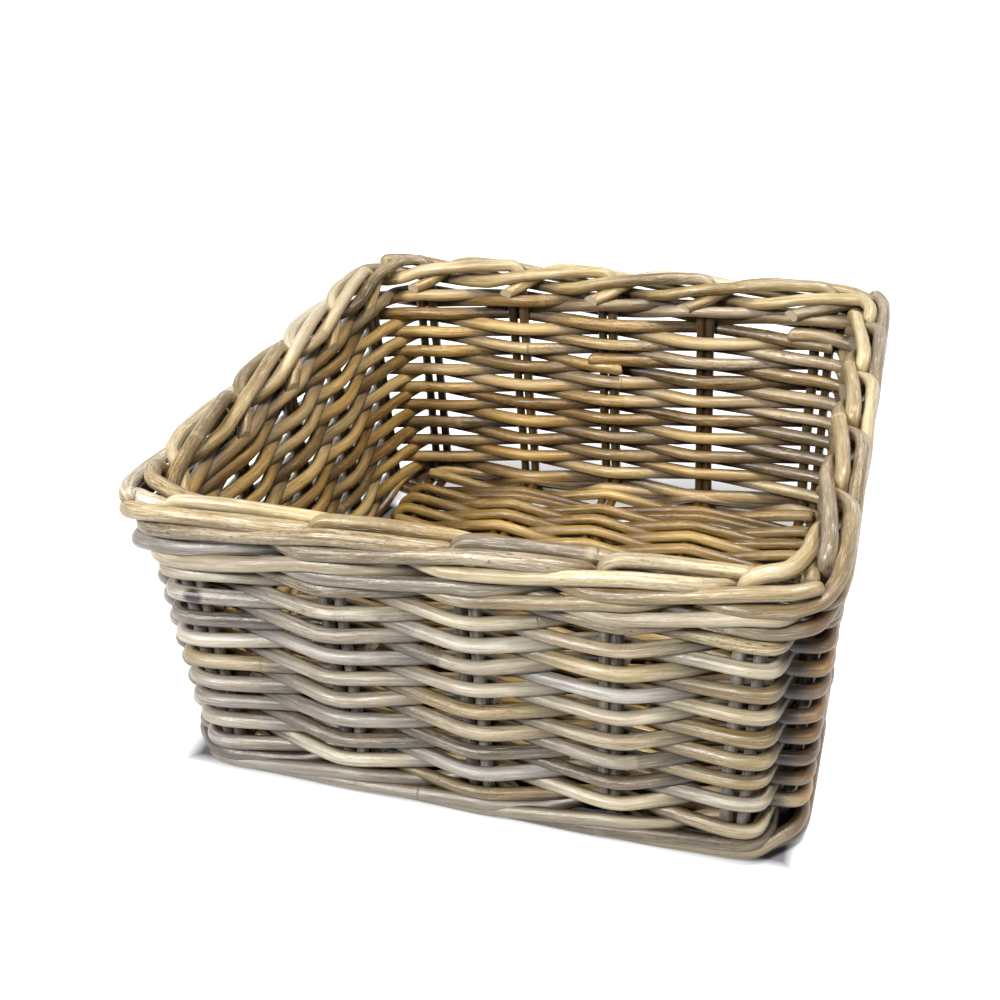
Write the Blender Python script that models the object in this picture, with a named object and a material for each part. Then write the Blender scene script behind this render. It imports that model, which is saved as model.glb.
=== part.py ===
"""Pie basket woven from round rattan rods, on a square plan, with a rod border and a woven floor."""

import math

import bpy
import numpy as np

# Driving dimensions, in metres
base_half_width = 0.1770
rim_half_width = 0.1860
basket_height = 0.1965
border_rod_diameter = 0.0070
stake_diameter = 0.0062
stake_tip_diameter = 0.0056
pair_spacing = 0.0084
rod_clearance = 0.0004

# Counts of pieces
sides_of_basket = 4
pairs_per_side = 5
side_weavers = 18
upper_wale_rods = 3
lower_wale_rods = 4
floor_passes_per_zone = 7
facets_per_rod = 5

# Plan shape: the corner pairs stand at this share of the half width, and the corners are rounded
corner_pair_share = 0.83
corner_squareness = 16.0

# Border: its rods turn over near the top, and their cut ends lie this far below it
border_top_height = basket_height - border_rod_diameter / 2
border_depth_share = 2.457
border_foot_height = border_top_height - border_depth_share * border_rod_diameter

# Heights of the side, counted in levels from the lowest rod up to the border. The rods of all the
# levels fill the side, so their thickness follows from its height.
lowest_rod_height = 0.0050
lower_wale_levels = 2
going_in_share = 0.35
upper_wale_spread_share = 1.07
levels_of_side = lower_wale_levels + going_in_share + side_weavers + 2 + upper_wale_spread_share
weaver_pitch = (border_foot_height - lowest_rod_height) / levels_of_side
weaver_diameter = weaver_pitch - rod_clearance
weave_foot_height = lowest_rod_height + (lower_wale_levels + going_in_share) * weaver_pitch
upper_wale_spread = upper_wale_spread_share * weaver_pitch
upper_wale_height = weave_foot_height + (side_weavers + 1) * weaver_pitch + upper_wale_spread / 2

# Places of the weave along and across the wall
weave_offset = (stake_diameter + weaver_diameter) / 2 + 5 * rod_clearance
wale_bulge = 0.0010
corner_hold = 0.0060
foot_hold = 0.0088
joint_gap = 0.0008

# Heights of the floor: its weavers pass over and under sticks that all lie at one height
floor_clearance = 2 * rod_clearance
flat_reach = weaver_diameter / 2 * math.cos(math.pi / facets_per_rod)
stick_height = (stake_diameter + weaver_diameter) / 2 + floor_clearance + flat_reach
bend_size = 0.0100
foot_height = stick_height + bend_size
floor_shoulder = 0.0066
foot_half_length = 0.0040
turn_reach = 0.0145

pair_count = sides_of_basket * pairs_per_side


def clear_scene():
    for item in list(bpy.data.objects):
        bpy.data.objects.remove(item, do_unlink=True)


def material(name, colour, roughness):
    made = bpy.data.materials.new(name)
    made.use_nodes = True
    shader = made.node_tree.nodes["Principled BSDF"]
    shader.inputs["Base Color"].default_value = (*colour, 1.0)
    shader.inputs["Roughness"].default_value = roughness
    return made


# Plan of the basket: a square with rounded corners and slightly bowed sides
def half_width_at(height):
    return base_half_width + (rim_half_width - base_half_width) * height / basket_height


def floor_half_width():
    return half_width_at(foot_height)


def wall_share(side_share):
    return (1 - abs(side_share) ** corner_squareness) ** (1 / corner_squareness)


def side_shares():
    return np.linspace(-corner_pair_share, corner_pair_share, pairs_per_side)


def pair_angles():
    within_side = [math.atan2(share, wall_share(share)) for share in side_shares()]
    return np.array([
        (side - 1) * math.pi / 2 + angle
        for side in range(sides_of_basket)
        for angle in within_side
    ])


def value_round(place, values):
    """A value at a place counted in stake pairs round the basket, from its values at the pairs."""
    turns = math.floor(place / pair_count)
    return float(np.interp(place - turns * pair_count, np.arange(pair_count + 1), values))


def plan_point(place, offset, height):
    """A point at a place counted in stake pairs round the basket, an offset outwards and a height."""
    angles = pair_angles()
    angle = value_round(place, np.append(angles, angles[0] + 2 * math.pi))
    half = half_width_at(height) + offset
    cosine = abs(math.cos(angle)) ** corner_squareness
    sine = abs(math.sin(angle)) ** corner_squareness
    reach = half / (cosine + sine) ** (1 / corner_squareness)
    return np.array([reach * math.cos(angle), reach * math.sin(angle), height])


def span_length(pair):
    start = plan_point(pair, 0, basket_height / 2)
    end = plan_point(pair + 1, 0, basket_height / 2)
    return float(np.linalg.norm(end - start))


def place_near(pair, distance):
    """The place a distance along the wall from a pair, ahead of it or behind it."""
    span = span_length(pair) if distance > 0 else span_length(pair - 1)
    return pair + distance / span


def is_corner_span(pair):
    return pair % pairs_per_side == pairs_per_side - 1


# Rods: round tubes along a path, with a cut face at each end
def unit(vector):
    return vector / np.linalg.norm(vector)


def rod_frames(path, keep_level):
    steps = np.diff(path, axis=0)
    steps = steps / np.linalg.norm(steps, axis=1)[:, None]
    along = np.vstack([steps[:1], steps[:-1] + steps[1:], steps[-1:]])
    along = along / np.linalg.norm(along, axis=1)[:, None]
    up = np.array([0.0, 0.0, 1.0])
    nearly_upright = 0.99
    side = np.array([1.0, 0.0, 0.0])
    if abs(along[0][2]) < nearly_upright:
        side = unit(np.cross(along[0], up))
    across = []
    for direction in along:
        if keep_level:
            side = np.cross(direction, up)
        side = unit(side - direction * np.dot(side, direction))
        across.append(side)
    across = np.array(across)
    return steps, along, across, np.cross(across, along)


def mitred(ring, bend):
    """Stretch a ring in the plane of a bend, so that the rod keeps its thickness there."""
    widest_stretch = 1.3
    slight_bend = 0.4
    size = np.linalg.norm(bend)
    if size < slight_bend:
        return ring
    direction = bend / size
    closeness = max(1 - size * size / 4, 1 / widest_stretch ** 2)
    return ring + np.outer(ring @ direction, direction) * (1 / math.sqrt(closeness) - 1)


def rod_mesh(name, path, diameters, keep_level):
    steps, along, across, upward = rod_frames(path, keep_level)
    turn = math.pi / facets_per_rod
    angles = np.arange(facets_per_rod) * 2 * turn - math.pi / 2 + turn
    vertices = []
    for index, centre in enumerate(path):
        ring = np.outer(np.cos(angles), across[index]) + np.outer(np.sin(angles), upward[index])
        if 0 < index < len(path) - 1:
            ring = mitred(ring, steps[index] - steps[index - 1])
        vertices += [tuple(corner) for corner in centre + ring * diameters[index] / 2]
    faces = []
    count = facets_per_rod
    for near in range(0, len(vertices) - count, count):
        for facet in range(count):
            following = (facet + 1) % count
            faces.append((near + facet, near + count + facet, near + count + following, near + following))
    faces.append(tuple(range(count)))
    faces.append(tuple(reversed(range(len(vertices) - count, len(vertices)))))
    mesh = bpy.data.meshes.new(name)
    mesh.from_pydata(vertices, [], faces)
    mesh.update()
    return mesh


def add_rod(name, path, diameters, finish, keep_level=True):
    sharp_edge_degrees = 80
    if np.isscalar(diameters):
        diameters = [diameters] * len(path)
    mesh = rod_mesh(name, np.array(path), diameters, keep_level)
    mesh.materials.append(finish)
    for face in mesh.polygons:
        face.use_smooth = True
    mesh.set_sharp_from_angle(angle=math.radians(sharp_edge_degrees))
    bpy.context.collection.objects.link(bpy.data.objects.new(name, mesh))


# Woven rods: a path past the stake pairs, from places at the pairs and places between them
def woven_path(rod, first, last, at_pairs, between_pairs):
    """Each place is an offset outwards and a height. A rod without places between runs straight there."""
    rods = len(at_pairs)
    places = [(place_near(first, joint_gap), at_pairs[(first - rod) % rods])]
    for pair in range(first, last):
        leaving = at_pairs[(pair - rod) % rods]
        arriving = at_pairs[(pair + 1 - rod) % rods]
        between = between_pairs[(pair - rod) % rods]
        comes_out = (pair - rod) % rods == 0
        if comes_out and rods == lower_wale_rods:
            places.append((place_near(pair, foot_hold), leaving))
        elif is_corner_span(pair):
            places.append((place_near(pair, corner_hold), leaving))
        if between is not None:
            places.append((pair + 0.5, between))
        elif is_corner_span(pair):
            places.append((pair + 0.5, (0, leaving[1])))
        if is_corner_span(pair):
            places.append((place_near(pair + 1, -corner_hold), arriving))
        if pair + 1 < last:
            places.append((pair + 1, arriving))
    places.append((place_near(last, -joint_gap), arriving))
    return [plan_point(place, offset, height) for place, (offset, height) in places]


def side_weaver_path(level):
    """One round at one height, outside at every other pair. The next level does the opposite."""
    seam_step = 6
    rod = (level + 1) % 2
    first = rod + seam_step * level
    height = weave_foot_height + (level + 1) * weaver_pitch
    at_pairs = [(-weave_offset, height), (weave_offset, height)]
    return woven_path(rod, first, first + pair_count, at_pairs, [None, None])


def upper_wale_path(rod):
    """In front of two pairs and behind one, coming out low and going in high. Each rod ends where the
    next one begins."""
    half_spread = upper_wale_spread / 2
    low = upper_wale_height - half_spread
    high = upper_wale_height + half_spread
    at_pairs = [
        (-weave_offset, upper_wale_height),
        (weave_offset, low - rod_clearance / 2),
        (weave_offset, high + rod_clearance / 2),
    ]
    between_pairs = [(0, low), (weave_offset + wale_bulge, upper_wale_height), (0, high)]
    last_rod = rod == upper_wale_rods - 1
    last = pair_count if last_rod else rod + pair_count + 1
    return woven_path(rod, rod, last, at_pairs, between_pairs)


def lower_wale_path(rod):
    """In front of three pairs and behind one, just above the floor, coming out low and going in high."""
    levels = [lowest_rod_height + level * weaver_pitch for level in range(lower_wale_rods - 1)]
    coming_out_height = lowest_rod_height - 3 * rod_clearance
    at_pairs = [(-weave_offset, weave_foot_height)] + [(weave_offset, level) for level in levels]
    bulging = weave_offset + wale_bulge
    between_pairs = [
        (0, coming_out_height),
        (bulging, (levels[0] + levels[1]) / 2),
        (bulging, (levels[1] + levels[2]) / 2),
        (0, weave_foot_height),
    ]
    return woven_path(rod, rod, rod + pair_count, at_pairs, between_pairs)


# Side stakes: up one wall, across the floor and up the opposite wall, where the rod is cut off
def turned(point, side):
    angle = side * math.pi / 2
    x, y, z = point
    return np.array([
        x * math.cos(angle) - y * math.sin(angle),
        x * math.sin(angle) + y * math.cos(angle),
        z,
    ])


def wall_point(share, height, across):
    """A point of a stake in the front wall, with the second rod of the pair at the other sign."""
    half = half_width_at(height)
    return np.array([share * half + across, -half * wall_share(share), height])


def border_path(pair):
    """From the top of a stake: behind the next pair, in front of two more, then in and cut off. Outside
    it comes out low and climbs over the next rod that comes out."""
    # Pairs ahead, a distance from that pair, the offset outwards and the depth below the top of the
    # border, all as shares of the border rod's thickness
    near_shares = (
        ((0, 1.00, 0.00, 0.54), (0, 1.93, -0.07, 0.06)),
        ((1, -0.86, -1.17, 0.21), (1, 1.14, -1.17, 0.43)),
        ((2, -1.14, 1.14, border_depth_share), (2, 1.14, 1.14, border_depth_share)),
        ((3, -1.14, 1.17, 1.40), (3, 1.14, 1.17, 1.21)),
        ((4, -1.37, -0.74, 1.21),),
    )
    # The same in the span after each pair, with the place as a share of the span
    span_shares = (
        ((0, 0.50, -0.50, 0.00),),
        ((1, 0.27, -0.64, 1.29), (1, 0.43, 0.12, 2.35)),
        ((2, 0.50, 1.24, 1.79), (2, 0.76, 1.50, 1.53)),
        ((3, 0.50, 1.21, 0.67), (3, 0.76, 0.36, 0.93)),
        (),
    )
    path = []
    for near, spanning in zip(near_shares, span_shares):
        for ahead, along, outward, depth in near:
            place = place_near(pair + ahead, along * border_rod_diameter)
            path.append((place, outward, depth))
        for ahead, along, outward, depth in spanning:
            path.append((pair + ahead + along, outward, depth))
    return [
        plan_point(
            place,
            outward * border_rod_diameter,
            border_top_height - depth * border_rod_diameter,
        )
        for place, outward, depth in path
    ]


def floor_lane_height(lane, column, diameter):
    over = 1 if (lane + column) % 2 == 0 else -1
    return stick_height + over * ((stake_diameter + diameter) / 2 + floor_clearance)


def floor_lane_of_pair(column):
    return 1 + column * (floor_passes_per_zone + 1)


def stake_path(side, column):
    """One stake rod with the diameter at each point, its border end standing in the given side."""
    share = side_shares()[column]
    across = pair_spacing / 2
    straight_share = 1.57
    tip_share = 3.20
    straight_top = border_top_height - straight_share * border_rod_diameter
    tip_height = border_top_height - tip_share * border_rod_diameter
    middle_share = 0.3
    inner = base_half_width * wall_share(share) - bend_size
    foot_x = wall_point(share, foot_height, across)[0]
    bend_y = inner + (1 - middle_share) * bend_size
    bend_z = stick_height + middle_share * bend_size
    other_wall = np.array([1, -1, 1])
    near = [
        wall_point(share, straight_top, across),
        wall_point(share, foot_height, across),
        np.array([foot_x, -bend_y, bend_z]),
        np.array([foot_x, -inner, stick_height]),
    ]
    floor = []
    if side % 2 == 1:
        lane = floor_lane_of_pair(column if side == 1 else pairs_per_side - 1 - column)
        for crossing, crossed_share in enumerate(side_shares()):
            stick = pairs_per_side - 1 - crossing if side == 1 else crossing
            height = floor_lane_height(lane, stick, stake_diameter)
            crossed = crossed_share * floor_half_width()
            floor.append(np.array([foot_x, crossed, height]))
            if crossing in (0, pairs_per_side - 1):
                beyond = crossed + math.copysign(floor_shoulder, crossed)
                floor.insert(crossing and len(floor), np.array([foot_x, beyond, height]))
    far = [
        np.array([foot_x, inner, stick_height]),
        np.array([foot_x, bend_y, bend_z]),
        wall_point(share, foot_height, across) * other_wall,
        wall_point(share, tip_height, across) * other_wall,
    ]
    path = [turned(point, side) for point in near + floor + far]
    widths = [stake_diameter] * (len(path) - 1) + [stake_tip_diameter]
    bent = border_path(side * pairs_per_side + column)
    return list(reversed(bent)) + path, [border_rod_diameter] * len(bent) + widths


# Floor: lanes are counted from the front, the pairs of left-to-right stakes being lanes as well
def floor_zone_lanes(zone):
    """The lane numbers of the passes in one zone, with their places from front to back."""
    places = side_shares() * floor_half_width()
    beside_pair = (pair_spacing + stake_diameter + weaver_diameter) / 2 + rod_clearance
    if zone == 0:
        return [(0, places[0] - beside_pair)]
    if zone == pairs_per_side:
        last = floor_lane_of_pair(pairs_per_side - 1) + 1
        return [(last, places[-1] + beside_pair)]
    first = floor_lane_of_pair(zone - 1) + 1
    passes = np.linspace(places[zone - 1] + beside_pair, places[zone] - beside_pair, floor_passes_per_zone)
    return [(first + index, place) for index, place in enumerate(passes)]


def floor_weaver_path(zone):
    shoulder_rise_share = 0.02
    sticks = side_shares() * floor_half_width()
    edge = sticks[-1]
    lanes = floor_zone_lanes(zone)
    path = []
    for index, (lane, y) in enumerate(lanes):
        forward = index % 2 == 0
        columns = list(range(pairs_per_side))
        if not forward:
            columns.reverse()
        heights = [floor_lane_height(lane, column, weaver_diameter) for column in columns]
        shoulders = [height + (stick_height - height) * shoulder_rise_share for height in heights]
        direction = 1 if forward else -1
        path.append(np.array([-direction * (edge + floor_shoulder), y, shoulders[0]]))
        for column, height in zip(columns, heights):
            rests = len(lanes) == 1 and height < stick_height
            for reach in (-foot_half_length, foot_half_length) if rests else (0.0,):
                path.append(np.array([sticks[column] + reach, y, height]))
        path.append(np.array([direction * (edge + floor_shoulder), y, shoulders[-1]]))
        if index < len(lanes) - 1:
            turn_y = (y + lanes[index + 1][1]) / 2
            path.append(np.array([direction * (edge + turn_reach), turn_y, stick_height]))
    return path


def build_stakes(finish):
    for side, side_name in enumerate(("front", "right", "back", "left")):
        for column in range(pairs_per_side):
            path, widths = stake_path(side, column)
            add_rod(f"stake_{side_name}_{column + 1}", path, widths, finish, keep_level=False)


def build_side_weavers(finish):
    for level in range(side_weavers):
        add_rod(f"side_weaver_{level + 1}", side_weaver_path(level), weaver_diameter, finish)


def build_wales(finish):
    for rod in range(upper_wale_rods):
        add_rod(f"upper_wale_rod_{rod + 1}", upper_wale_path(rod), weaver_diameter, finish)
    for rod in range(lower_wale_rods):
        add_rod(f"lower_wale_rod_{rod + 1}", lower_wale_path(rod), weaver_diameter, finish)


def build_floor(finish):
    for zone in range(pairs_per_side + 1):
        add_rod(f"floor_weaver_{zone + 1}", floor_weaver_path(zone), weaver_diameter, finish)


def build_basket():
    clear_scene()
    build_stakes(material("stake_rattan", (0.36, 0.29, 0.20), 0.6))
    build_side_weavers(material("weaver_rattan", (0.47, 0.41, 0.31), 0.55))
    build_wales(material("wale_rattan", (0.52, 0.47, 0.37), 0.5))
    build_floor(material("floor_rattan", (0.43, 0.31, 0.17), 0.6))


build_basket()
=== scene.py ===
import math

import bpy
import numpy as np
from mathutils import Matrix, Vector


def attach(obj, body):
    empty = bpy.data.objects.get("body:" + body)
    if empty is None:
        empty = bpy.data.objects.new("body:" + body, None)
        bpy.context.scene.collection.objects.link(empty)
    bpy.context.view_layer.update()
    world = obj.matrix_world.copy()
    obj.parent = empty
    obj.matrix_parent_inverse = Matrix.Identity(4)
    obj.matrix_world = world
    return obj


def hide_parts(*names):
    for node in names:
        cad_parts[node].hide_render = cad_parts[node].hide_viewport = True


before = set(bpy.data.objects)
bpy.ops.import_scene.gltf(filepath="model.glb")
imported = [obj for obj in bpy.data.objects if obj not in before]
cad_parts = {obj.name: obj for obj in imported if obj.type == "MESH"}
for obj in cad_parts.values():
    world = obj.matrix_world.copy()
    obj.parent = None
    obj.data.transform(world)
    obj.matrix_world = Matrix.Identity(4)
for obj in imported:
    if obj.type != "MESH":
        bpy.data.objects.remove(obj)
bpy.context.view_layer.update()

# Studio
# The basket stands on white paper in front of a white background. Two soft panels light it, one from the
# front left and one from above, a weak one fills in from the right, and the camera looks down on it.


class Socket:
    """An output in a shader's node tree. Python operators on it add Math nodes."""

    def __init__(self, tree, output):
        self.tree = tree
        self.output = output

    def node(self, kind, settings=None, **inputs):
        made = self.tree.nodes.new("ShaderNode" + kind)
        for name, value in (settings or {}).items():
            if name == "stops":
                fill_ramp(made.color_ramp, value)
            else:
                setattr(made, name, value)
        for name, value in inputs.items():
            key = int(name[1:]) if name[0] == "_" else name.replace("_", " ")
            link(self.tree, value, made.inputs[key])
        return made

    def maths(self, operation, *values):
        made = self.tree.nodes.new("ShaderNodeMath")
        made.operation = operation
        for index, value in enumerate(values):
            link(self.tree, value, made.inputs[index])
        return Socket(self.tree, made.outputs[0])

    def __add__(self, other):
        return self.maths("ADD", self, other)

    def __sub__(self, other):
        return self.maths("SUBTRACT", self, other)

    def __mul__(self, other):
        return self.maths("MULTIPLY", self, other)

    def __truediv__(self, other):
        return self.maths("DIVIDE", self, other)

    def __rsub__(self, other):
        return self.maths("SUBTRACT", other, self)

    def __rtruediv__(self, other):
        return self.maths("DIVIDE", other, self)

    __radd__ = __add__
    __rmul__ = __mul__

    def clamped(self):
        return read(self, "Clamp", "Result", Value=self)

    def between(self, low, high):
        """0 at low, 1 at high and a straight ramp between them. Low may be the greater of the two."""
        return ((self - low) * (1 / (high - low))).clamped()

    def blended(self, first, second, blend_type):
        """A Mix node's colour output. Its colours are its seventh and eighth input."""
        made = self.node(
            "Mix", {"data_type": "RGBA", "blend_type": blend_type}, Factor=self, _6=first, _7=second)
        return Socket(self.tree, made.outputs[2])

    def mixed(self, first, second):
        """The first colour where this value is 0 and the second where it is 1."""
        return self.blended(first, second, "MIX")

    def tinted(self, colour, tint):
        """The colour where this value is 0, and the colour times the tint where it is 1."""
        return self.blended(colour, tint, "MULTIPLY")


def link(tree, value, target):
    if isinstance(value, Socket):
        tree.links.new(value.output, target)
    elif isinstance(value, (tuple, list)) and target.type == "RGBA" and len(value) == 3:
        target.default_value = (*value, 1.0)
    else:
        target.default_value = value


def fill_ramp(ramp, stops):
    middle = 0.5
    while len(ramp.elements) < len(stops):
        ramp.elements.new(middle)
    for element, (position, colour) in zip(ramp.elements, stops):
        element.position = position
        element.color = (*colour, 1.0)


def read(start, kind, output, settings=None, **inputs):
    """One output of a new node."""
    return Socket(start.tree, start.node(kind, settings, **inputs).outputs[output])


def parts_of(start, vector):
    """The three numbers of a vector."""
    separated = start.node("SeparateXYZ", Vector=vector)
    return [Socket(start.tree, separated.outputs[axis]) for axis in range(3)]


def new_material(name):
    made = bpy.data.materials.new(name)
    made.use_nodes = True
    made.node_tree.nodes.clear()
    start = Socket(made.node_tree, None)
    return made, start


def is_seen_plainly(start):
    """1 for rays from the camera, from a reflection or through glass, and 0 for the rest."""
    path = start.node("LightPath")
    camera = Socket(start.tree, path.outputs["Is Camera Ray"])
    glossy = Socket(start.tree, path.outputs["Is Glossy Ray"])
    through = Socket(start.tree, path.outputs["Is Transmission Ray"])
    return (camera + glossy + through).clamped()


def make_paper():
    """White paper that glows, a little less near the basket: the glow rises with x times x plus y times y.
    Under the basket it carries a painted shadow, dark and without glow, as far out as the greater of the
    distances along x and along y. Light that only bounces meets a dim, warm paper."""
    painted_shadow_edge = (0.177, 0.190)
    behind_share = 1.35
    glow_rise = (0.10, 1.4)
    painted_shadow_paper = (0.14, 0.14, 0.15)
    white_paper = (0.82, 0.82, 0.82)
    warm_paper = (0.30, 0.29, 0.27)
    no_glow = (0.0, 0.0, 0.0)
    near_glow = (0.60, 0.60, 0.60)
    full_glow = (1.0, 1.0, 1.0)
    paper, start = new_material("studio_paper")
    seen_plainly = is_seen_plainly(start)
    x, y, _ = parts_of(start, read(start, "TexCoord", "Object"))
    ahead_or_behind = y.maths("MAXIMUM", 0.0 - y, y * behind_share)
    # Painted shadow: the paper is dark and does not glow under the basket and just round its foot.
    out_of_painted_shadow = x.maths("MAXIMUM", x.maths("ABSOLUTE", x), ahead_or_behind).between(*painted_shadow_edge)
    glow = (x * x + y * y).between(*glow_rise).mixed(near_glow, full_glow)
    lit = read(start, "BsdfDiffuse", "BSDF", Color=out_of_painted_shadow.mixed(painted_shadow_paper, white_paper))
    glowing = read(start, "Emission", "Emission", Color=out_of_painted_shadow.mixed(no_glow, glow), Strength=1.0)
    white = read(start, "AddShader", "Shader", _0=lit, _1=glowing)
    dim = read(start, "BsdfDiffuse", "BSDF", Color=warm_paper)
    seen = read(start, "MixShader", "Shader", _0=seen_plainly, _1=dim, _2=white)
    start.node("OutputMaterial", Surface=seen)
    return paper


def make_floor():
    """A plane at the height of the basket's feet."""
    half_side = 6.0
    drop = 0.0002
    corners = np.array([[-1, -1], [1, -1], [1, 1], [-1, 1]]) * half_side
    mesh = bpy.data.meshes.new("studio_floor")
    mesh.from_pydata([(x, y, -drop) for x, y in corners], [], [(0, 1, 2, 3)])
    mesh.materials.append(make_paper())
    floor = bpy.data.objects.new("studio_floor", mesh)
    bpy.context.collection.objects.link(floor)


def make_world():
    """White where the camera sees it, and a dim white light from all round."""
    ambient_share = 0.07
    world = bpy.data.worlds.new("studio_air")
    world.use_nodes = True
    world.node_tree.nodes.clear()
    start = Socket(world.node_tree, None)
    strength = is_seen_plainly(start) * (1.0 - ambient_share) + ambient_share
    background = read(start, "Background", "Background", Color=(1.0, 1.0, 1.0), Strength=strength)
    start.node("OutputWorld", Surface=background)
    bpy.context.scene.world = world


def make_panel(name, place, aim_height, side, power, colour):
    """A square light that looks at a point on the basket's upright axis."""
    light = bpy.data.lights.new(name, "AREA")
    light.shape = "RECTANGLE"
    light.size = side
    light.size_y = side
    light.energy = power
    light.color = colour
    panel = bpy.data.objects.new(name, light)
    direction = Vector((0.0, 0.0, aim_height)) - Vector(place)
    panel.rotation_euler = direction.to_track_quat("-Z", "Y").to_euler()
    panel.location = place
    bpy.context.collection.objects.link(panel)


def make_camera():
    """The camera stands where lines through the rim, the base and the stakes all meet the photograph."""
    turn = math.radians(-18.99)
    tilt = math.radians(30.04)
    roll = math.radians(-3.125)
    distance = 0.8916
    aim = np.array([-0.04326, 0.02605, 0.08271])
    focal_share = 1.3003
    sensor_width = 36.0
    nearest = 0.01
    forward = np.array([
        math.sin(turn) * math.cos(tilt),
        math.cos(turn) * math.cos(tilt),
        -math.sin(tilt),
    ])
    level = np.array([math.cos(turn), -math.sin(turn), 0.0])
    upright = np.cross(level, forward)
    right = math.cos(roll) * level + math.sin(roll) * upright
    up = math.cos(roll) * upright - math.sin(roll) * level
    lens = bpy.data.cameras.new("camera")
    lens.sensor_width = sensor_width
    lens.sensor_fit = "HORIZONTAL"
    lens.lens = focal_share * sensor_width
    lens.clip_start = nearest
    camera = bpy.data.objects.new("camera", lens)
    turned_axes = np.column_stack([right, up, -forward])
    pose = Matrix([list(row) + [0.0] for row in turned_axes] + [[0.0, 0.0, 0.0, 1.0]])
    pose.translation = Vector(aim - distance * forward)
    camera.matrix_world = pose
    bpy.context.collection.objects.link(camera)
    bpy.context.scene.camera = camera


make_floor()
make_world()
make_panel(
    "front_panel", place=(-0.8, -1.6, 1.6), aim_height=0.1, side=0.5, power=62.0, colour=(1.0, 0.99, 0.97))
make_panel(
    "top_panel", place=(0.5, -0.25, 1.8), aim_height=0.0, side=0.5, power=39.0, colour=(1.0, 0.97, 0.93))
make_panel(
    "right_panel", place=(1.6, -0.9, 0.9), aim_height=0.1, side=0.8, power=5.0, colour=(0.95, 0.97, 1.0))
make_camera()
bpy.context.scene.view_settings.view_transform = "Standard"


# Side stakes and border
# Pairs of thin rattan rods stand in each wall, 5 pairs to a side. They run down, under the floor and up
# the far side. The longer rod of each pair is bent down at the top and woven into the thick border.

base_half_width = 0.1770
rim_half_width = 0.1860
basket_height = 0.1965
rim_squareness = 18.0
base_squareness = 12.0
sides = 4
pairs_per_side = 5
pair_count = sides * pairs_per_side
rim_shares = np.array([
    (-0.832, -0.375, 0.046, 0.458, 0.833),
    (-0.830, -0.420, -0.010, 0.405, 0.825),
    (-0.817, -0.367, 0.031, 0.413, 0.806),
    (-0.830, -0.435, -0.050, 0.360, 0.820),
])
foot_shares = np.array([
    (-0.854, -0.399, 0.038, 0.462, 0.843),
    (-0.840, -0.425, 0.000, 0.415, 0.835),
    (-0.863, -0.414, 0.002, 0.382, 0.804),
    (-0.840, -0.425, -0.030, 0.380, 0.830),
])
pair_spacings = np.array([
    0.0080, 0.0086, 0.0086, 0.0066, 0.0086,
    0.0084, 0.0084, 0.0084, 0.0084, 0.0084,
    0.0086, 0.0066, 0.0086, 0.0086, 0.0080,
    0.0084, 0.0084, 0.0084, 0.0084, 0.0084,
])
stake_diameter = 0.0070
border_diameters = (0.0081, 0.0086, 0.0083, 0.0091)
weaver_diameter = 0.0081
stick_height = 0.0112
box_half_width = 0.1990
foot_bend = 0.0095


def pair_angles(shares, squareness):
    """The angle of each pair, from the point of a superellipse that stands at the pair's share of its
    side. The front comes first, then the right, the back and the left."""
    side_turns = (np.arange(sides)[:, None] - 1) * np.pi / 2
    ahead = (1 - np.abs(shares) ** squareness) ** (1 / squareness)
    return (side_turns + np.arctan2(shares, ahead)).ravel()


rim_angles = pair_angles(rim_shares, rim_squareness)
foot_angles = pair_angles(foot_shares, base_squareness)


def half_width_at(height):
    return base_half_width + (rim_half_width - base_half_width) * height / basket_height


def round_values(places, values, growth=0.0):
    """Values at places counted in stake pairs round the basket, from one value at each pair. Once round
    adds the growth."""
    closed = np.append(values, values[0] + growth)
    return np.interp(np.mod(places, pair_count), np.arange(pair_count + 1), closed)


def plan_points(places, offsets, heights):
    """A superellipse round the basket: the angle of each place, a half width for each height, and an
    offset outwards from the wall. Its corners are rounder at the foot than at the rim."""
    rise = np.asarray(heights) / basket_height
    low = round_values(places, foot_angles, 2 * np.pi)
    high = round_values(places, rim_angles, 2 * np.pi)
    angles = low + (high - low) * rise
    power = base_squareness + (rim_squareness - base_squareness) * rise
    spread = (np.abs(np.cos(angles)) ** power + np.abs(np.sin(angles)) ** power) ** (1 / power)
    reach = (half_width_at(heights) + offsets) / spread
    return np.column_stack([reach * np.cos(angles), reach * np.sin(angles), heights])


wall_middle = np.full(pair_count, basket_height / 2)
pair_middles = plan_points(np.arange(pair_count), np.zeros(pair_count), wall_middle)
span_lengths = np.linalg.norm(np.roll(pair_middles, -1, axis=0) - pair_middles, axis=1)


def place_near(pair, distance):
    """The place a distance along the wall from a pair, ahead of it or behind it."""
    span = span_lengths[pair % pair_count] if distance > 0 else span_lengths[(pair - 1) % pair_count]
    return pair + distance / span


def smooth_noise(count, spacing, length, seed):
    """Random values of size about 1 along a rod, changing over the given length. Between two of them
    the share of the second is 3 t^2 - 2 t^3."""
    spare_knots = 4
    source = np.random.default_rng(seed)
    knots = max(int(count * spacing / length) + spare_knots, spare_knots)
    values = source.normal(size=knots)
    at = np.linspace(0, knots - 2, count)
    whole = at.astype(int)
    part = at - whole
    eased = part * part * (3 - 2 * part)
    return values[whole] * (1 - eased) + values[whole + 1] * eased


def lengths_along(path):
    steps = np.linalg.norm(np.diff(path, axis=0), axis=1)
    return np.concatenate([[0], np.cumsum(steps)])


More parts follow.
